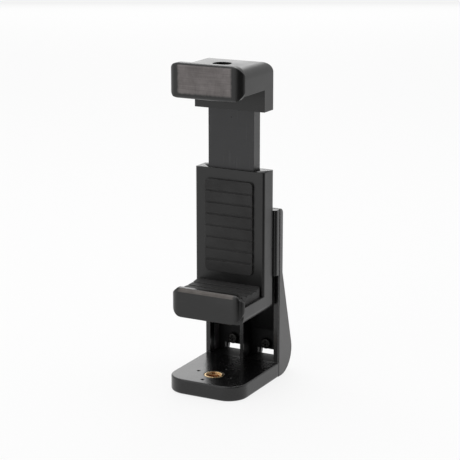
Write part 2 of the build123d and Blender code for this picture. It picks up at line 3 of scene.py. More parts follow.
import bmesh
import bpy
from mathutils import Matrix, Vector


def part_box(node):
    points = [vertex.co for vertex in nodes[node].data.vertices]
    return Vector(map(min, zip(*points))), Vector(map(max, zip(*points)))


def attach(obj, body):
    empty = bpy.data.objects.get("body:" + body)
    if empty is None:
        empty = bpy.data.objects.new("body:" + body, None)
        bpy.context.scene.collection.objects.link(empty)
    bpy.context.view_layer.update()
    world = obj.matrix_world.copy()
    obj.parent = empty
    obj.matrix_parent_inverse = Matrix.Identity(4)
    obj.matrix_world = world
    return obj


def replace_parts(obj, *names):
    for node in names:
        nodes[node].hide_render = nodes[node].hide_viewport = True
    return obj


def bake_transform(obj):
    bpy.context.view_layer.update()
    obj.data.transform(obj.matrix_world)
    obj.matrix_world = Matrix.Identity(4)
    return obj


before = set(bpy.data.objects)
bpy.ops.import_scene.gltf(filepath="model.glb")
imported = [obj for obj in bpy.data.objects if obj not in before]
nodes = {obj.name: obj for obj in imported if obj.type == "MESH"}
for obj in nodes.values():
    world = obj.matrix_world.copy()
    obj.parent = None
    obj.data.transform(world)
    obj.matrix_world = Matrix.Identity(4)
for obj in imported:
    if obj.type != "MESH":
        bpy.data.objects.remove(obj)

scene = bpy.context.scene
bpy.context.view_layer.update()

# Quarter-inch thread, in metres
thread_pitch = 0.00127
thread_root = 0.003175
thread_crest = 0.0026


# Camera at the photograph's standpoint

def set_camera():
    data = bpy.data.cameras.new("camera")
    data.sensor_width = 36
    data.lens = 128.03
    data.clip_start = 0.01
    data.clip_end = 20
    camera = bpy.data.objects.new("camera", data)
    camera.location = (0.28307, -0.52474, 0.21483)
    camera.rotation_euler = (math.radians(90 - 14.262), 0, math.radians(27.756))
    scene.collection.objects.link(camera)
    scene.camera = camera


# Node groups shared by the finishes

def new_group(name, inputs, outputs):
    """A shader node group with named sockets, and its two end nodes."""
    group = bpy.data.node_groups.new(name, "ShaderNodeTree")
    for label, kind, value in inputs:
        socket = group.interface.new_socket(label, in_out="INPUT", socket_type=kind)
        socket.default_value = value
    for label, kind in outputs:
        group.interface.new_socket(label, in_out="OUTPUT", socket_type=kind)
    return group, group.nodes.new("NodeGroupInput"), group.nodes.new("NodeGroupOutput")


def node(tree, kind, **settings):
    """A node with its settings; values gives the inputs that nothing is joined to."""
    made = tree.nodes.new(kind)
    for key, value in settings.items():
        if key == "values":
            for socket, number in value.items():
                made.inputs[socket].default_value = number
        else:
            setattr(made, key, value)
    return made


def join(tree, source, target):
    tree.links.new(source, target)


def worn_edges_group():
    """Rounded normals near edges, and a broken mask of where handling has rubbed them."""
    group, ends, out = new_group(
        "worn_edges",
        [("Radius", "NodeSocketFloat", 0.0004), ("Patchiness", "NodeSocketFloat", 220.0)],
        [("Mask", "NodeSocketFloat"), ("Normal", "NodeSocketVector")])
    bevel = node(group, "ShaderNodeBevel", samples=6)
    join(group, ends.outputs["Radius"], bevel.inputs["Radius"])
    face = node(group, "ShaderNodeNewGeometry")
    dot = node(group, "ShaderNodeVectorMath", operation="DOT_PRODUCT")
    join(group, bevel.outputs["Normal"], dot.inputs[0])
    join(group, face.outputs["Normal"], dot.inputs[1])
    edge = node(group, "ShaderNodeMapRange",
                values={"From Min": 0.995, "From Max": 0.86, "To Min": 0.0, "To Max": 1.0})
    join(group, dot.outputs["Value"], edge.inputs["Value"])
    place = node(group, "ShaderNodeTexCoord")
    patches = node(group, "ShaderNodeTexNoise", values={"Detail": 4.0, "Roughness": 0.6})
    join(group, place.outputs["Object"], patches.inputs["Vector"])
    join(group, ends.outputs["Patchiness"], patches.inputs["Scale"])
    broken = node(group, "ShaderNodeMapRange",
                  values={"From Min": 0.36, "From Max": 0.62, "To Min": 0.25, "To Max": 1.0})
    join(group, patches.outputs["Fac"], broken.inputs["Value"])
    both = node(group, "ShaderNodeMath", operation="MULTIPLY")
    join(group, edge.outputs["Result"], both.inputs[0])
    join(group, broken.outputs["Result"], both.inputs[1])
    join(group, both.outputs["Value"], out.inputs["Mask"])
    join(group, bevel.outputs["Normal"], out.inputs["Normal"])
    return group


def moulded_grain_group():
    """Fine spark-eroded grain of a mould, with slow waves under it."""
    group, ends, out = new_group(
        "moulded_grain",
        [("Scale", "NodeSocketFloat", 3200.0), ("Waves", "NodeSocketFloat", 60.0)],
        [("Height", "NodeSocketFloat"), ("Cloud", "NodeSocketFloat")])
    place = node(group, "ShaderNodeTexCoord")
    pits = node(group, "ShaderNodeTexVoronoi", feature="SMOOTH_F1",
                values={"Smoothness": 0.6, "Randomness": 1.0})
    fine = node(group, "ShaderNodeTexNoise", values={"Detail": 3.0, "Roughness": 0.55})
    slow = node(group, "ShaderNodeTexNoise", values={"Detail": 5.0, "Roughness": 0.5})
    for texture in (pits, fine, slow):
        join(group, place.outputs["Object"], texture.inputs["Vector"])
    join(group, ends.outputs["Scale"], pits.inputs["Scale"])
    join(group, ends.outputs["Scale"], fine.inputs["Scale"])
    join(group, ends.outputs["Waves"], slow.inputs["Scale"])
    grain = node(group, "ShaderNodeMath", operation="MULTIPLY_ADD", values={1: 0.6})
    join(group, pits.outputs["Distance"], grain.inputs[0])
    join(group, fine.outputs["Fac"], grain.inputs[2])
    join(group, grain.outputs["Value"], out.inputs["Height"])
    join(group, slow.outputs["Fac"], out.inputs["Cloud"])
    return group


def scuffs_group():
    """Fine scratches along one direction, thinned out by patches."""
    group, ends, out = new_group(
        "scuffs",
        [("Stretch", "NodeSocketVector", (1.0, 1.0, 0.08)), ("Scale", "NodeSocketFloat", 900.0)],
        [("Mask", "NodeSocketFloat")])
    place = node(group, "ShaderNodeTexCoord")
    squeeze = node(group, "ShaderNodeVectorMath", operation="MULTIPLY")
    join(group, place.outputs["Object"], squeeze.inputs[0])
    join(group, ends.outputs["Stretch"], squeeze.inputs[1])
    lines = node(group, "ShaderNodeTexNoise", values={"Detail": 2.0, "Roughness": 0.5})
    join(group, squeeze.outputs["Vector"], lines.inputs["Vector"])
    join(group, ends.outputs["Scale"], lines.inputs["Scale"])
    thin = node(group, "ShaderNodeMapRange",
                values={"From Min": 0.6, "From Max": 0.74, "To Min": 0.0, "To Max": 1.0})
    join(group, lines.outputs["Fac"], thin.inputs["Value"])
    patches = node(group, "ShaderNodeTexNoise", values={"Scale": 90.0, "Detail": 3.0})
    join(group, place.outputs["Object"], patches.inputs["Vector"])
    rubbed = node(group, "ShaderNodeMapRange",
                  values={"From Min": 0.48, "From Max": 0.66, "To Min": 0.0, "To Max": 1.0})
    join(group, patches.outputs["Fac"], rubbed.inputs["Value"])
    both = node(group, "ShaderNodeMath", operation="MULTIPLY")
    join(group, thin.outputs["Result"], both.inputs[0])
    join(group, rubbed.outputs["Result"], both.inputs[1])
    join(group, both.outputs["Value"], out.inputs["Mask"])
    return group


def settled_dust_group():
    """Specks of dust that lie on what faces upwards."""
    group, ends, out = new_group(
        "settled_dust",
        [("Density", "NodeSocketFloat", 1500.0), ("Amount", "NodeSocketFloat", 0.5)],
        [("Mask", "NodeSocketFloat")])
    place = node(group, "ShaderNodeTexCoord")
    specks = node(group, "ShaderNodeTexVoronoi", values={"Randomness": 1.0})
    join(group, place.outputs["Object"], specks.inputs["Vector"])
    join(group, ends.outputs["Density"], specks.inputs["Scale"])
    dots = node(group, "ShaderNodeMapRange",
                values={"From Min": 0.14, "From Max": 0.04, "To Min": 0.0, "To Max": 1.0})
    join(group, specks.outputs["Distance"], dots.inputs["Value"])
    face = node(group, "ShaderNodeNewGeometry")
    split = node(group, "ShaderNodeSeparateXYZ")
    join(group, face.outputs["Normal"], split.inputs["Vector"])
    upward = node(group, "ShaderNodeMapRange",
                  values={"From Min": 0.3, "From Max": 0.95, "To Min": 0.0, "To Max": 1.0})
    join(group, split.outputs["Z"], upward.inputs["Value"])
    lying = node(group, "ShaderNodeMath", operation="MULTIPLY")
    join(group, dots.outputs["Result"], lying.inputs[0])
    join(group, upward.outputs["Result"], lying.inputs[1])
    amount = node(group, "ShaderNodeMath", operation="MULTIPLY")
    join(group, lying.outputs["Value"], amount.inputs[0])
    join(group, ends.outputs["Amount"], amount.inputs[1])
    join(group, amount.outputs["Value"], out.inputs["Mask"])
    return group


def turned_rings_group():
    """Fine rings left by a lathe, round the Z axis."""
    group, ends, out = new_group(
        "turned_rings", [("Scale", "NodeSocketFloat", 900.0)], [("Height", "NodeSocketFloat")])
    place = node(group, "ShaderNodeTexCoord")
    rings = node(group, "ShaderNodeTexWave", wave_type="RINGS", rings_direction="Z",
                 values={"Distortion": 1.2, "Detail": 3.0, "Detail Scale": 1.5})
    join(group, place.outputs["Object"], rings.inputs["Vector"])
    join(group, ends.outputs["Scale"], rings.inputs["Scale"])
    join(group, rings.outputs["Fac"], out.inputs["Height"])
    return group


def face_wear_and_painted_sheen_group():
    """Where one flat face is worn and made paler with a painted reflection: its mask with a ragged rim,
    and fine crossing brush marks on it."""
    group, ends, out = new_group(
        "face_wear_and_painted_sheen",
        [("Facing", "NodeSocketVector", (0.0, -1.0, 0.0)), ("Reach", "NodeSocketFloat", 0.0),
         ("Middle", "NodeSocketVector", (0.0, 0.0, 0.0)), ("Half Width", "NodeSocketFloat", 0.01),
         ("Half Height", "NodeSocketFloat", 0.005)],
        [("Mask", "NodeSocketFloat"), ("Brushed", "NodeSocketFloat")])
    face = node(group, "ShaderNodeNewGeometry")
    dot = node(group, "ShaderNodeVectorMath", operation="DOT_PRODUCT")
    join(group, face.outputs["True Normal"], dot.inputs[0])
    join(group, ends.outputs["Facing"], dot.inputs[1])
    flat = node(group, "ShaderNodeMapRange",
                values={"From Min": 0.955, "From Max": 0.99, "To Min": 0.0, "To Max": 1.0})
    join(group, dot.outputs["Value"], flat.inputs["Value"])
    place = node(group, "ShaderNodeTexCoord")
    split = node(group, "ShaderNodeSeparateXYZ")
    join(group, place.outputs["Object"], split.inputs["Vector"])
    before = node(group, "ShaderNodeMath", operation="LESS_THAN")
    join(group, split.outputs["Y"], before.inputs[0])
    join(group, ends.outputs["Reach"], before.inputs[1])
    mask = node(group, "ShaderNodeMath", operation="MULTIPLY")
    join(group, flat.outputs["Result"], mask.inputs[0])
    join(group, before.outputs["Value"], mask.inputs[1])
    ragged = node(group, "ShaderNodeTexNoise", values={"Scale": 700.0, "Detail": 3.0})
    join(group, place.outputs["Object"], ragged.inputs["Vector"])
    offset = node(group, "ShaderNodeVectorMath", operation="SUBTRACT")
    join(group, place.outputs["Object"], offset.inputs[0])
    join(group, ends.outputs["Middle"], offset.inputs[1])
    away = node(group, "ShaderNodeSeparateXYZ")
    join(group, offset.outputs["Vector"], away.inputs["Vector"])
    for axis, half in (("X", "Half Width"), ("Z", "Half Height")):
        far = node(group, "ShaderNodeMath", operation="ABSOLUTE")
        join(group, away.outputs[axis], far.inputs[0])
        left_over = node(group, "ShaderNodeMath", operation="SUBTRACT")
        join(group, ends.outputs[half], left_over.inputs[0])
        join(group, far.outputs["Value"], left_over.inputs[1])
        uneven = node(group, "ShaderNodeMath", operation="MULTIPLY_ADD", values={1: 0.0008})
        join(group, ragged.outputs["Fac"], uneven.inputs[0])
        join(group, left_over.outputs["Value"], uneven.inputs[2])
        inside = node(group, "ShaderNodeMapRange",
                      values={"From Min": 0.0002, "From Max": 0.001, "To Min": 0.0, "To Max": 1.0})
        join(group, uneven.outputs["Value"], inside.inputs["Value"])
        narrowed = node(group, "ShaderNodeMath", operation="MULTIPLY")
        join(group, mask.outputs["Value"], narrowed.inputs[0])
        join(group, inside.outputs["Result"], narrowed.inputs[1])
        mask = narrowed
    cloud = node(group, "ShaderNodeTexNoise", values={"Scale": 170.0, "Detail": 4.0})
    join(group, place.outputs["Object"], cloud.inputs["Vector"])
    along_x, along_z = (0.03, 1.0, 1.0), (1.0, 1.0, 0.25)
    total = cloud.outputs["Fac"]
    for stretch, share in ((along_x, 0.55), (along_z, 0.25)):
        squeeze = node(group, "ShaderNodeVectorMath", operation="MULTIPLY", values={1: stretch})
        join(group, place.outputs["Object"], squeeze.inputs[0])
        lines = node(group, "ShaderNodeTexNoise", values={"Scale": 2600.0, "Detail": 3.0})
        join(group, squeeze.outputs["Vector"], lines.inputs["Vector"])
        both = node(group, "ShaderNodeMath", operation="MULTIPLY_ADD", values={1: share})
        join(group, lines.outputs["Fac"], both.inputs[0])
        join(group, total, both.inputs[2])
        total = both.outputs["Value"]
    brushed = node(group, "ShaderNodeMapRange",
                   values={"From Min": 0.65, "From Max": 1.15, "To Min": 0.0, "To Max": 1.0})
    join(group, total, brushed.inputs["Value"])
    join(group, mask.outputs["Value"], out.inputs["Mask"])
    join(group, brushed.outputs["Result"], out.inputs["Brushed"])
    return group


groups = {
    "worn_edges": worn_edges_group(),
    "face_wear_and_painted_sheen": face_wear_and_painted_sheen_group(),
    "moulded_grain": moulded_grain_group(),
    "scuffs": scuffs_group(),
    "settled_dust": settled_dust_group(),
    "turned_rings": turned_rings_group(),
}


# Finishes

def new_finish(name):
    """A material, its node tree and its shader."""
    finish = bpy.data.materials.new(name)
    finish.use_nodes = True
    tree = finish.node_tree
    return finish, tree, tree.nodes["Principled BSDF"]


def effect(tree, name, **values):
    """One of the shared groups, placed in a finish with its own values."""
    placed = tree.nodes.new("ShaderNodeGroup")
    placed.node_tree = groups[name]
    for label, value in values.items():
        placed.inputs[label].default_value = value
    return placed


def blend_colour(tree, mask, below, above, strength=1.0):
    """Colour that goes from below to above as the mask rises."""
    mix = node(tree, "ShaderNodeMix", data_type="RGBA")
    amount = node(tree, "ShaderNodeMath", operation="MULTIPLY", use_clamp=True, values={1: strength})
    join(tree, mask, amount.inputs[0])
    join(tree, amount.outputs["Value"], mix.inputs["Factor"])
    for value, socket in ((below, mix.inputs["A"]), (above, mix.inputs["B"])):
        if isinstance(value, tuple):
            socket.default_value = (*value, 1)
        else:
            join(tree, value, socket)
    return mix.outputs["Result"]


def spread(tree, value, low, high, start=0.3, end=0.7):
    """A value between start and end, mapped to the range low to high."""
    ranged = node(tree, "ShaderNodeMapRange",
                  values={"From Min": start, "From Max": end, "To Min": low, "To Max": high})
    join(tree, value, ranged.inputs["Value"])
    return ranged.outputs["Result"]


def add_up(tree, first, second, share=1.0):
    """first plus share times second."""
    total = node(tree, "ShaderNodeMath", operation="MULTIPLY_ADD", values={1: share})
    join(tree, second, total.inputs[0])
    join(tree, first, total.inputs[2])
    return total.outputs["Value"]


def raise_surface(tree, shader, height, depth, normal):
    """Bump from a height, on top of the rounded normals."""
    bump = node(tree, "ShaderNodeBump", values={"Strength": 1.0, "Distance": depth})
    join(tree, height, bump.inputs["Height"])
    join(tree, normal, bump.inputs["Normal"])
    join(tree, bump.outputs["Normal"], shader.inputs["Normal"])


def moulded_plastic(name, colour, rubbed, smooth, rough, grain, dust, face=None, dull_and_shaded_behind=None):
    """Dark moulded plastic: grain, cloudy gloss, rubbed edges, light scuffs and dust. A face given by its
    direction, reach, middle, size and two colours is made paler and duller, partly as wear with brush
    marks and partly as a painted reflection. Behind a given Y the mould's skin is rougher, and its
    reflection is dimmed as painted shade."""
    finish, tree, shader = new_finish(name)
    edges = effect(tree, "worn_edges", Radius=0.0003)
    skin = effect(tree, "moulded_grain", Scale=3000.0, Waves=70.0)
    marks = effect(tree, "scuffs", Stretch=(0.12, 0.12, 1.0), Scale=1500.0)
    specks = effect(tree, "settled_dust", Density=1100.0, Amount=dust)
    darker = tuple(channel * 0.75 for channel in colour)
    dust_colour = (0.3, 0.29, 0.275)
    base = blend_colour(tree, skin.outputs["Cloud"], darker, colour)
    base = blend_colour(tree, edges.outputs["Mask"], base, rubbed, 0.4)
    base = blend_colour(tree, marks.outputs["Mask"], base, rubbed, 0.25)
    roughness = spread(tree, skin.outputs["Cloud"], smooth, rough)
    roughness = add_up(tree, roughness, marks.outputs["Mask"], 0.12)
    height = add_up(tree, skin.outputs["Height"], marks.outputs["Mask"], 0.8)
    if face:
        # The face's paler colours are partly brushed wear and partly a painted reflection
        facing, reach, middle, half_width, half_height, low, high = face
        face_wear_and_sheen = effect(tree, "face_wear_and_painted_sheen", Facing=facing, Reach=reach, Middle=middle)
        face_wear_and_sheen.inputs["Half Width"].default_value = half_width
        face_wear_and_sheen.inputs["Half Height"].default_value = half_height
        face_wear_and_sheen_colour = blend_colour(tree, face_wear_and_sheen.outputs["Brushed"], low, high)
        base = blend_colour(tree, face_wear_and_sheen.outputs["Mask"], base, face_wear_and_sheen_colour)
        roughness = add_up(tree, roughness, face_wear_and_sheen.outputs["Mask"], 0.22)
    if dull_and_shaded_behind:
        fully_dull_and_shaded = dull_and_shaded_behind + 0.0008
        place = node(tree, "ShaderNodeTexCoord")
        split = node(tree, "ShaderNodeSeparateXYZ")
        join(tree, place.outputs["Object"], split.inputs["Vector"])
        rougher = spread(tree, split.outputs["Y"], 0.0, 0.3, dull_and_shaded_behind, fully_dull_and_shaded)
        roughness = add_up(tree, roughness, rougher)
        # Painted shade: a lower specular level dims the reflection in the pockets
        shine_dimmed_as_shade = spread(tree, split.outputs["Y"], 0.5, 0.2, dull_and_shaded_behind, fully_dull_and_shaded)
        join(tree, shine_dimmed_as_shade, shader.inputs["Specular IOR Level"])
    base = blend_colour(tree, specks.outputs["Mask"], base, dust_colour)
    join(tree, base, shader.inputs["Base Color"])
    join(tree, roughness, shader.inputs["Roughness"])
    raise_surface(tree, shader, height, grain, edges.outputs["Normal"])
    shader.inputs["IOR"].default_value = 1.5
    return finish


def sliding_plastic():
    """Smooth plastic of the slide, polished and scored along its travel."""
    finish, tree, shader = new_finish("sliding_plastic")
    edges = effect(tree, "worn_edges", Radius=0.0003)
    skin = effect(tree, "moulded_grain", Scale=2400.0, Waves=50.0)
    marks = effect(tree, "scuffs", Stretch=(1.0, 1.0, 0.03), Scale=1300.0)
    base = blend_colour(tree, skin.outputs["Cloud"], (0.018, 0.018, 0.019), (0.03, 0.03, 0.032))
    base = blend_colour(tree, marks.outputs["Mask"], base, (0.09, 0.09, 0.095), 0.6)
    base = blend_colour(tree, edges.outputs["Mask"], base, (0.1, 0.1, 0.105), 0.5)
    join(tree, base, shader.inputs["Base Color"])
    roughness = spread(tree, skin.outputs["Cloud"], 0.26, 0.38)
    roughness = add_up(tree, roughness, marks.outputs["Mask"], 0.2)
    join(tree, roughness, shader.inputs["Roughness"])
    height = add_up(tree, skin.outputs["Height"], marks.outputs["Mask"], -1.5)
    raise_surface(tree, shader, height, 0.000012, edges.outputs["Normal"])
    shader.inputs["IOR"].default_value = 1.48
    return finish


def soft_rubber():
    """Matt rubber with a powdery bloom on its ridges."""
    finish, tree, shader = new_finish("soft_rubber")
    edges = effect(tree, "worn_edges", Radius=0.0004, Patchiness=300.0)
    skin = effect(tree, "moulded_grain", Scale=1800.0, Waves=120.0)
    specks = effect(tree, "settled_dust", Density=900.0, Amount=0.5)
    base = blend_colour(tree, skin.outputs["Cloud"], (0.012, 0.012, 0.012), (0.024, 0.023, 0.023))
    base = blend_colour(tree, edges.outputs["Mask"], base, (0.07, 0.068, 0.066), 0.6)
    base = blend_colour(tree, specks.outputs["Mask"], base, (0.3, 0.29, 0.27))
    join(tree, base, shader.inputs["Base Color"])
    join(tree, spread(tree, skin.outputs["Cloud"], 0.62, 0.8), shader.inputs["Roughness"])
    raise_surface(tree, shader, skin.outputs["Height"], 0.00004, edges.outputs["Normal"])
    return finish


def metal(name, dull, bright, smooth, rough, rings, depth=None):
    """Metal with lathe rings, a cloudy film and bright rubbed edges. A depth gives two heights between
    which painted shade darkens it downwards, and the colour of that shade."""
    finish, tree, shader = new_finish(name)
    edges = effect(tree, "worn_edges", Radius=0.00015, Patchiness=600.0)
    skin = effect(tree, "moulded_grain", Scale=2600.0, Waves=260.0)
    lathe = effect(tree, "turned_rings", Scale=rings)
    base = blend_colour(tree, skin.outputs["Cloud"], dull, bright)
    base = blend_colour(tree, edges.outputs["Mask"], base, bright, 0.8)
    if depth:
        start, end, shade_colour = depth
        place = node(tree, "ShaderNodeTexCoord")
        split = node(tree, "ShaderNodeSeparateXYZ")
        join(tree, place.outputs["Object"], split.inputs["Vector"])
        # Painted shade: the colour darkens towards the lower height, down the hole
        base = blend_colour(tree, spread(tree, split.outputs["Z"], 1.0, 0.0, end, start), base, shade_colour)
    join(tree, base, shader.inputs["Base Color"])
    roughness = spread(tree, skin.outputs["Cloud"], smooth, rough)
    join(tree, add_up(tree, roughness, edges.outputs["Mask"], -0.08), shader.inputs["Roughness"])
    height = add_up(tree, lathe.outputs["Height"], skin.outputs["Height"], 0.3)
    raise_surface(tree, shader, height, 0.000012, edges.outputs["Normal"])
    shader.inputs["Metallic"].default_value = 1.0
    return finish


def make_finishes():
    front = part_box("upper_jaw")[0].y
    slant = math.sqrt(0.5)
    # The upper lip's front, worn and made lighter with a painted reflection, and the bevel along the lower
    # lip's top, made lighter with a painted highlight and brush marks. Each is given by direction,
    # furthest Y, middle, half width, half height and two colours.
    lip_wear_and_painted_reflection = ((0.0, -1.0, 0.0), front + 0.0005, (0.0, front, 0.121), 0.0112, 0.0056,
                (0.105, 0.093, 0.09), (0.235, 0.213, 0.209))
    bevel_painted_highlight = ((0.0, -slant, slant), front + 0.0016, (0.0, front, 0.0402), 0.0118, 0.002,
                  (0.075, 0.066, 0.06), (0.15, 0.135, 0.124))
    # Behind this Y, in the upright's pockets, the plastic is rougher, and its reflection is dimmed as
    # painted shade
    pocket_front = 0.0232
    # The brass is darkened between these heights with painted shade, down the threaded hole
    hole_top, hole_fully_shaded = 0.00575, 0.0035
    return {
        "foot_plastic": moulded_plastic(
            "foot_plastic", colour=(0.006, 0.006, 0.0063), rubbed=(0.04, 0.04, 0.04),
            smooth=0.2, rough=0.28, grain=0.000005, dust=0.5, dull_and_shaded_behind=pocket_front),
        "shell_plastic": moulded_plastic(
            "shell_plastic", colour=(0.123, 0.121, 0.121), rubbed=(0.19, 0.188, 0.186),
            smooth=0.36, rough=0.46, grain=0.000012, dust=0.4),
        "clamp_plastic": moulded_plastic(
            "clamp_plastic", colour=(0.008, 0.0079, 0.0078), rubbed=(0.05, 0.048, 0.046),
            smooth=0.28, rough=0.38, grain=0.000008, dust=0.4, face=bevel_painted_highlight),
        "jaw_plastic": moulded_plastic(
            "jaw_plastic", colour=(0.008, 0.0079, 0.0078), rubbed=(0.05, 0.048, 0.046),
            smooth=0.28, rough=0.38, grain=0.000008, dust=0.4, face=lip_wear_and_painted_reflection),
        "sliding_plastic": sliding_plastic(),
        "soft_rubber": soft_rubber(),
        "turned_brass": metal(
            "turned_brass", dull=(0.85, 0.58, 0.28), bright=(1.0, 0.8, 0.5),
            smooth=0.24, rough=0.34, rings=1500.0, depth=(hole_top, hole_fully_shaded, (0.42, 0.17, 0.045))),
        "blackened_steel": metal(
            "blackened_steel", dull=(0.014, 0.0137, 0.0134), bright=(0.042, 0.041, 0.04),
            smooth=0.36, rough=0.52, rings=700.0),
        "plated_steel": metal(
            "plated_steel", dull=(0.45, 0.46, 0.48), bright=(0.7, 0.7, 0.72),
            smooth=0.25, rough=0.4, rings=700.0),
        "spring_wire": metal(
            "spring_wire", dull=(0.32, 0.32, 0.33), bright=(0.6, 0.6, 0.61),
            smooth=0.25, rough=0.4, rings=700.0),
    }


def dress(obj, finish):
    """Gives an object one finish."""
    obj.data.materials.clear()
    obj.data.materials.append(finish)


# Pieces modelled here, each in place of a plainer node

def clear_selection():
    bpy.ops.object.select_all(action="DESELECT")


def select_only(obj):
    clear_selection()
    obj.select_set(True)
    bpy.context.view_layer.objects.active = obj


def begin_edit(obj):
    """Opens an object in edit mode with nothing selected, and gives its mesh."""
    select_only(obj)
    bpy.ops.object.mode_set(mode="EDIT")
    bpy.ops.mesh.select_all(action="DESELECT")
    return bmesh.from_edit_mesh(obj.data)


def end_edit(obj):
    """Writes the changed mesh back and leaves edit mode."""
    bmesh.update_edit_mesh(obj.data)
    bpy.ops.object.mode_set(mode="OBJECT")


def settle(obj, name, finish, smooth_angle):
    """Gives a finished piece its name, shading, finish and slot, with its place in its mesh."""
    obj.name = name
    select_only(obj)
    bpy.ops.object.transform_apply(location=True, rotation=True, scale=True)
    bpy.ops.object.shade_smooth_by_angle(angle=math.radians(smooth_angle))
    dress(obj, finish)
    clear_selection()
    return obj


def apply_modifier(obj, kind, **settings):
    made = obj.modifiers.new(kind.lower(), kind)
    for key, value in settings.items():
        setattr(made, key, value)
    select_only(obj)
    bpy.ops.object.modifier_apply(modifier=made.name)


def combine(obj, other, operation):
    """Joins, cuts or trims a piece with another one, which is then deleted."""
    apply_modifier(obj, "BOOLEAN", operation=operation, solver="EXACT", object=other)
    bpy.data.objects.remove(other)


def coil(x, y, z0, z1, radius, wire, turns):
    """A coil of round wire, made by screwing a small circle round the axis."""
    clear_selection()
    bpy.ops.mesh.primitive_circle_add(vertices=8, radius=wire / 2, location=(0, 0, 0))
    obj = bpy.context.object
    begin_edit(obj)
    bpy.ops.mesh.select_all(action="SELECT")
    bpy.ops.transform.rotate(value=math.radians(90), orient_axis="X", center_override=(0, 0, 0))
    bpy.ops.transform.translate(value=(radius, 0, 0))
    end_edit(obj)
    apply_modifier(obj, "SCREW", axis="Z", angle=math.tau, screw_offset=(z1 - z0) / turns,
                   iterations=turns, steps=14, render_steps=14, use_smooth_shade=True,
                   use_merge_vertices=True)
    obj.location = (x, y, z0)
    return obj


def make_spring(side):
    """An extension spring with its turns and an eye at each end."""
    low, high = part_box(f"spring_{side}")
    x, y = (low.x + high.x) / 2, (low.y + high.y) / 2
    radius = (high.x - low.x) / 2
    wire = 0.0006
    turns = 60
    # From each end: the eye, a short straight neck, then the coil
    eye_radius = 0.0013
    eye_middle = 0.001625
    neck_length = 0.0019
    neck_middle = 0.00385
    coil_from_end = 0.0045
    start, end = low.z + coil_from_end, high.z - coil_from_end
    pieces = [coil(x, y, start, end, radius - wire / 2, wire, turns)]
    lower_eye = (low.z + eye_middle, (math.pi / 2, 0, 0))
    upper_eye = (high.z - eye_middle, (0, math.pi / 2, 0))
    for z, turn in (lower_eye, upper_eye):
        clear_selection()
        bpy.ops.mesh.primitive_torus_add(
            location=(x, y, z), rotation=turn, major_radius=eye_radius, minor_radius=wire / 2,
            major_segments=28, minor_segments=8)
        pieces.append(bpy.context.object)
    for z in (low.z + neck_middle, high.z - neck_middle):
        clear_selection()
        bpy.ops.mesh.primitive_cylinder_add(
            vertices=10, radius=wire / 2, depth=neck_length, location=(x, y, z))
        pieces.append(bpy.context.object)
    clear_selection()
    for piece in pieces:
        piece.select_set(True)
    bpy.context.view_layer.objects.active = pieces[0]
    bpy.ops.object.join()
    spring = bpy.context.object
    spring = settle(spring, f"{side}_extension_spring", finishes["spring_wire"], 60)
    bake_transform(spring)
    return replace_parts(spring, f"spring_{side}")


def thread_rod(x, y, z0, z1):
    """A threaded rod, screwed from one tooth with flats and closed at both ends, for cutting."""
    turns = math.ceil((z1 - z0) / thread_pitch) + 2
    clear_selection()
    bpy.ops.mesh.primitive_circle_add(vertices=3, radius=0.001)
    obj = bpy.context.object
    form = begin_edit(obj)
    form.clear()
    flat = thread_pitch / 8
    steps = ((thread_crest, 0), (thread_crest, flat * 2), (thread_root, thread_pitch / 2 + flat / 2),
             (thread_root, thread_pitch / 2 + flat * 1.5), (thread_crest, thread_pitch))
    corners = [form.verts.new((r, 0, z)) for r, z in steps]
    for first, second in zip(corners, corners[1:]):
        form.edges.new((first, second))
    end_edit(obj)
    apply_modifier(obj, "SCREW", axis="Z", angle=math.tau, screw_offset=thread_pitch, iterations=turns,
                   steps=40, render_steps=40, use_merge_vertices=False)
    obj.location = (x, y, z0 - thread_pitch)
    select_only(obj)
    bpy.ops.object.transform_apply(location=True, rotation=True, scale=True)
    begin_edit(obj)
    bpy.ops.mesh.select_all(action="SELECT")
    bpy.ops.mesh.remove_doubles(threshold=1e-6)
    for z, normal in ((z0, (0, 0, -1)), (z1, (0, 0, 1))):
        bpy.ops.mesh.select_all(action="SELECT")
        bpy.ops.mesh.bisect(plane_co=(x, y, z), plane_no=normal, use_fill=True, clear_outer=True)
    bpy.ops.mesh.select_all(action="SELECT")
    bpy.ops.mesh.normals_make_consistent(inside=False)
    end_edit(obj)
    return obj


def pick_faces(form, test):
    """Selects the faces that pass a test, where nothing is selected yet."""
    for face in form.faces:
        if test(face):
            face.select_set(True)


def cut_thread(obj, x, y, z0, z1):
    """Cuts a thread right through a solid piece."""
    past = 0.0006
    combine(obj, thread_rod(x, y, z0 - past, z1 + past), "DIFFERENCE")


def turned_ring(profile, steps):
    """A ring turned round Z from a closed outline of radius and height."""
    clear_selection()
    bpy.ops.mesh.primitive_circle_add(vertices=3, radius=0.001)
    obj = bpy.context.object
    form = begin_edit(obj)
    form.clear()
    corners = [form.verts.new((radius, 0, z)) for radius, z in profile]
    for first, second in zip(corners, corners[1:] + corners[:1]):
        form.edges.new((first, second))
    bmesh.update_edit_mesh(obj.data)
    bpy.ops.mesh.select_all(action="SELECT")
    bpy.ops.mesh.spin(steps=steps, angle=math.tau, center=(0, 0, 0), axis=(0, 0, 1))
    bpy.ops.mesh.select_all(action="SELECT")
    bpy.ops.mesh.remove_doubles(threshold=1e-7)
    bpy.ops.mesh.normals_make_consistent(inside=False)
    end_edit(obj)
    return obj


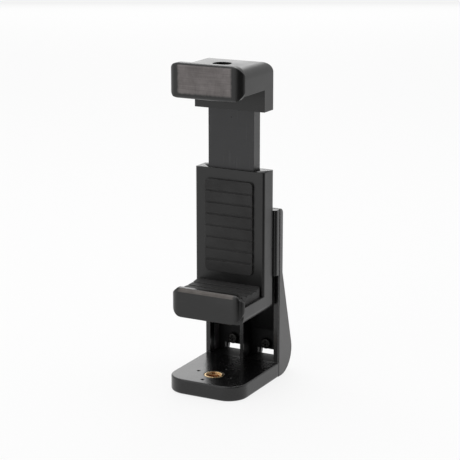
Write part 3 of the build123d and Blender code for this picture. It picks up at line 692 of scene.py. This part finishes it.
def make_threaded_insert():
    """Brass insert: two knurled belts with a waist between, eased rims and a cut thread."""
    low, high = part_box("tripod_insert")
    radius, middle = high.x, (low.z + high.z) / 2
    bore = 0.0023
    mouth = 0.003
    ease = 0.0002
    rim = radius - ease
    waist = radius - 0.00035
    waist_flat = 0.0006
    waist_edge = 0.0009
    mouth_bottom = high.z - mouth + bore
    facets = 72
    knurl_gap = 0.00005
    knurl_depth = 0.00015
    outline = [
        (bore, low.z), (rim, low.z), (radius, low.z + ease), (radius, middle - waist_edge),
        (waist, middle - waist_flat), (waist, middle + waist_flat), (radius, middle + waist_edge),
        (radius, high.z - ease), (rim, high.z), (mouth, high.z), (bore, mouth_bottom)]
    obj = turned_ring(outline, facets)
    form = begin_edit(obj)
    pick_faces(form, lambda f: abs(f.normal.z) < 0.1 and f.calc_center_median().xy.length > radius * 0.995)
    bmesh.update_edit_mesh(obj.data)
    bpy.ops.mesh.inset(thickness=knurl_gap, depth=-knurl_depth, use_individual=True)
    end_edit(obj)
    cut_thread(obj, 0, 0, low.z, high.z)
    insert = settle(obj, "threaded_insert", finishes["turned_brass"], 30)
    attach(insert, "frame")
    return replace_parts(insert, "tripod_insert")


def rounded_block(low, high, edges=()):
    """A block between two corners. Each entry of edges gives the axis that the edges run
    along, the sides they lie on, how far they are cut back, and in how many steps."""
    clear_selection()
    middle = [(a + b) / 2 for a, b in zip(low, high)]
    bpy.ops.mesh.primitive_cube_add(size=1, location=middle, scale=[b - a for a, b in zip(low, high)])
    obj = bpy.context.object
    bpy.ops.object.transform_apply(location=True, rotation=True, scale=True)
    for axis, sides, cut, steps in edges:
        form = begin_edit(obj)
        for edge in form.edges:
            first, second = edge.verts[0].co, edge.verts[1].co
            centre = (first + second) / 2
            along = abs((second - first).normalized()[axis]) > 0.99
            if along and all((centre[i] - middle[i]) * way > 0 for i, way in sides):
                edge.select_set(True)
        bmesh.update_edit_mesh(obj.data)
        bpy.ops.mesh.bevel(offset=cut, segments=steps, profile=0.5)
        end_edit(obj)
    return obj


def round_below(obj, half, bottom, radius, start, end):
    """Rounds the two lower edges of a piece between two places along Y, with a block that is
    hollowed by the rounded outline."""
    below = 0.001
    wide = 0.03
    cutter = rounded_block((-wide, start, bottom - below), (wide, end, bottom + radius))
    lower_edges_along_y = (1, [(2, -1)], radius, 12)
    room = rounded_block((-half, -2 * wide, bottom), (half, 2 * wide, bottom + wide),
                         [lower_edges_along_y])
    combine(cutter, room, "DIFFERENCE")
    combine(obj, cutter, "DIFFERENCE")


def make_lower_jaw():
    """The clamp's housing, with the shelf's lower edges at their full roundness, and nothing
    of the shelf beside the lip's rounded corners."""
    low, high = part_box("clamp_housing")
    # Keeps the cutting faces off the faces they would otherwise lie on
    slack = 0.00001
    lip_back = low.y + 0.003
    lip_bottom = low.z + 0.00065
    lip_radius = 0.0058
    # How far the shelf's block runs into the lip
    overlap = 0.001
    shelf_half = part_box("housing_cover")[1].x
    shelf_radius = 0.003
    behind_all = 0.03
    clear_selection()
    bpy.ops.mesh.primitive_cube_add(size=0.001)
    obj = bpy.context.object
    obj.data = nodes["clamp_housing"].data.copy()
    begin_edit(obj)
    bpy.ops.mesh.select_all(action="SELECT")
    bpy.ops.mesh.remove_doubles(threshold=1e-6)
    end_edit(obj)
    round_below(obj, high.x + slack, lip_bottom - slack, lip_radius,
                lip_back - overlap - slack, lip_back + 3 * slack)
    round_below(obj, shelf_half + slack, low.z - slack, shelf_radius,
                lip_back + 2 * slack, behind_all)
    jaw = settle(obj, "lower_jaw", finishes["clamp_plastic"], 30)
    apply_modifier(jaw, "WEIGHTED_NORMAL", keep_sharp=True, weight=50)
    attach(jaw, "frame")
    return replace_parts(jaw, "clamp_housing")


def make_threaded_nut():
    """Hex nut with eased corners and a cut thread."""
    low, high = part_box("accessory_nut")
    x, y = (low.x + high.x) / 2, (low.y + high.y) / 2
    middle, depth = (low.z + high.z) / 2, high.z - low.z
    across_corners = high.x - low.x
    ease = 0.0006
    clear_selection()
    bpy.ops.mesh.primitive_cylinder_add(vertices=6, radius=across_corners / 2, depth=depth,
                                        location=(x, y, middle), rotation=(0, 0, math.radians(30)))
    obj = bpy.context.object
    clear_selection()
    bpy.ops.mesh.primitive_cylinder_add(vertices=72, radius=across_corners / 2, depth=depth,
                                        location=(x, y, middle))
    crown = bpy.context.object
    form = begin_edit(crown)
    pick_faces(form, lambda f: abs(f.normal.z) > 0.9)
    bmesh.update_edit_mesh(crown.data)
    bpy.ops.mesh.region_to_loop()
    bpy.ops.mesh.bevel(offset=ease, segments=1)
    end_edit(crown)
    combine(obj, crown, "INTERSECT")
    cut_thread(obj, x, y, low.z, high.z)
    nut = settle(obj, "threaded_nut", finishes["blackened_steel"], 30)
    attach(nut, "sliding_jaw")
    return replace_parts(nut, "accessory_nut")


set_camera()
finishes = make_finishes()

node_finish = {
    "foot_bracket": "foot_plastic",
    "rear_shell": "shell_plastic",
    "tripod_insert": "turned_brass",
    "web_screws": "blackened_steel",
    "mount_screws": "plated_steel",
    "clamp_housing": "clamp_plastic",
    "housing_cover": "clamp_plastic",
    "cover_screws": "blackened_steel",
    "stop_screw": "blackened_steel",
    "lower_jaw_pad": "soft_rubber",
    "back_pad": "soft_rubber",
    "lower_spring_pins": "plated_steel",
    "spring_left": "spring_wire",
    "spring_right": "spring_wire",
    "upper_jaw": "jaw_plastic",
    "slide_tongue": "sliding_plastic",
    "jaw_screws": "blackened_steel",
    "upper_jaw_pad": "soft_rubber",
    "accessory_nut": "blackened_steel",
    "spring_pin": "plated_steel",
}
for name, finish_name in node_finish.items():
    dress(nodes[name], finishes[finish_name])

for side in ("left", "right"):
    make_spring(side)
make_threaded_insert()
make_threaded_nut()
make_lower_jaw()


# Floor, surroundings and light

# The reflected surroundings are dark round this turn, in degrees from the front to the right
dark_turn = math.radians(62)


def dark_side(tree, way, start, end, dark):
    """How bright the surroundings are one way: 1, but only the value of dark near dark_turn.
    Start and end are cosines of the angles from it between which the light fades."""
    dot = node(tree, "ShaderNodeVectorMath", operation="DOT_PRODUCT")
    dot.inputs[1].default_value = (math.sin(dark_turn), -math.cos(dark_turn), 0.0)
    join(tree, way, dot.inputs[0])
    flag = node(tree, "ShaderNodeMapRange", interpolation_type="SMOOTHSTEP",
                values={"From Min": start, "From Max": end, "To Min": 1.0, "To Max": dark})
    join(tree, dot.outputs["Value"], flag.inputs["Value"])
    return flag.outputs["Result"]


def at_least(tree, value, path, *rays):
    """The value, raised to 1 for the named kinds of ray."""
    for ray in rays:
        higher = node(tree, "ShaderNodeMath", operation="MAXIMUM")
        join(tree, value, higher.inputs[0])
        join(tree, path.outputs[ray], higher.inputs[1])
        value = higher.outputs["Value"]
    return value


def make_stage():
    """A pale floor, near white to the camera and catching the shadow. In reflections it is near
    white too, apart from a dark side at the right front, away from the object."""
    near = 0.06
    away = 0.2
    own_light = 0.82
    clear_selection()
    bpy.ops.mesh.primitive_plane_add(size=6, location=(0, 1.2, 0))
    floor = bpy.context.object
    floor.name = "floor"
    finish, tree, shader = new_finish("floor_paper")
    shader.inputs["Base Color"].default_value = (0.9, 0.9, 0.9, 1)
    shader.inputs["Roughness"].default_value = 0.9
    shader.inputs["Specular IOR Level"].default_value = 0.1
    out = tree.nodes["Material Output"]
    place = node(tree, "ShaderNodeNewGeometry")
    way = node(tree, "ShaderNodeVectorMath", operation="NORMALIZE")
    join(tree, place.outputs["Position"], way.inputs[0])
    path = node(tree, "ShaderNodeLightPath")
    length = node(tree, "ShaderNodeVectorMath", operation="LENGTH")
    join(tree, place.outputs["Position"], length.inputs[0])
    close_by = spread(tree, length.outputs["Value"], 1.0, 0.0, near, away)
    lit = node(tree, "ShaderNodeMath", operation="MAXIMUM")
    join(tree, dark_side(tree, way.outputs["Vector"], 0.6, 0.9, 0.0), lit.inputs[0])
    join(tree, close_by, lit.inputs[1])
    strength = at_least(tree, lit.outputs["Value"], path, "Is Camera Ray", "Is Transmission Ray")
    glow = node(tree, "ShaderNodeEmission", values={"Color": (1, 1, 1, 1)})
    join(tree, strength, glow.inputs["Strength"])
    seen = at_least(tree, path.outputs["Is Camera Ray"], path, "Is Glossy Ray", "Is Transmission Ray")
    lift = node(tree, "ShaderNodeMath", operation="MULTIPLY", values={1: own_light})
    join(tree, seen, lift.inputs[0])
    mix = node(tree, "ShaderNodeMixShader")
    join(tree, lift.outputs["Value"], mix.inputs["Fac"])
    join(tree, shader.outputs["BSDF"], mix.inputs[1])
    join(tree, glow.outputs["Emission"], mix.inputs[2])
    join(tree, mix.outputs["Shader"], out.inputs["Surface"])
    dress(floor, finish)


def make_world():
    """White surroundings to the camera, in reflections with a soft dark side at the right
    front, and dimmer as a light."""
    as_light = 0.45
    in_reflections = 0.9
    world = bpy.data.worlds.new("studio")
    scene.world = world
    world.use_nodes = True
    tree = world.node_tree
    background = tree.nodes["Background"]
    background.inputs["Color"].default_value = (1, 1, 1, 1)
    path = node(tree, "ShaderNodeLightPath")
    strength = node(tree, "ShaderNodeMapRange", values={"To Min": as_light, "To Max": in_reflections})
    join(tree, path.outputs["Is Glossy Ray"], strength.inputs["Value"])
    way = node(tree, "ShaderNodeTexCoord")
    dimmed = node(tree, "ShaderNodeMath", operation="MULTIPLY")
    join(tree, strength.outputs["Result"], dimmed.inputs[0])
    join(tree, dark_side(tree, way.outputs["Generated"], 0.5, 0.9, 0.02), dimmed.inputs[1])
    join(tree, at_least(tree, dimmed.outputs["Value"], path, "Is Camera Ray", "Is Transmission Ray"),
         background.inputs["Strength"])


def softbox(name, place, size, power):
    """A square lamp aimed at the middle of the object."""
    aim = Vector((0, 0, 0.06))
    data = bpy.data.lights.new(name, "AREA")
    data.shape = "SQUARE"
    data.size = size
    data.energy = power
    lamp = bpy.data.objects.new(name, data)
    lamp.location = place
    lamp.rotation_euler = (aim - Vector(place)).to_track_quat("-Z", "Y").to_euler()
    scene.collection.objects.link(lamp)


make_stage()
make_world()
softbox("top_softbox", (-0.1, 0.1, 0.9), size=0.7, power=5.0)
softbox("front_softbox", (-0.3, -0.9, 0.4), size=0.6, power=1.0)
softbox("back_softbox", (-0.56, 1.06, 0.42), size=0.8, power=2.2)

scene.view_settings.view_transform = "Standard"
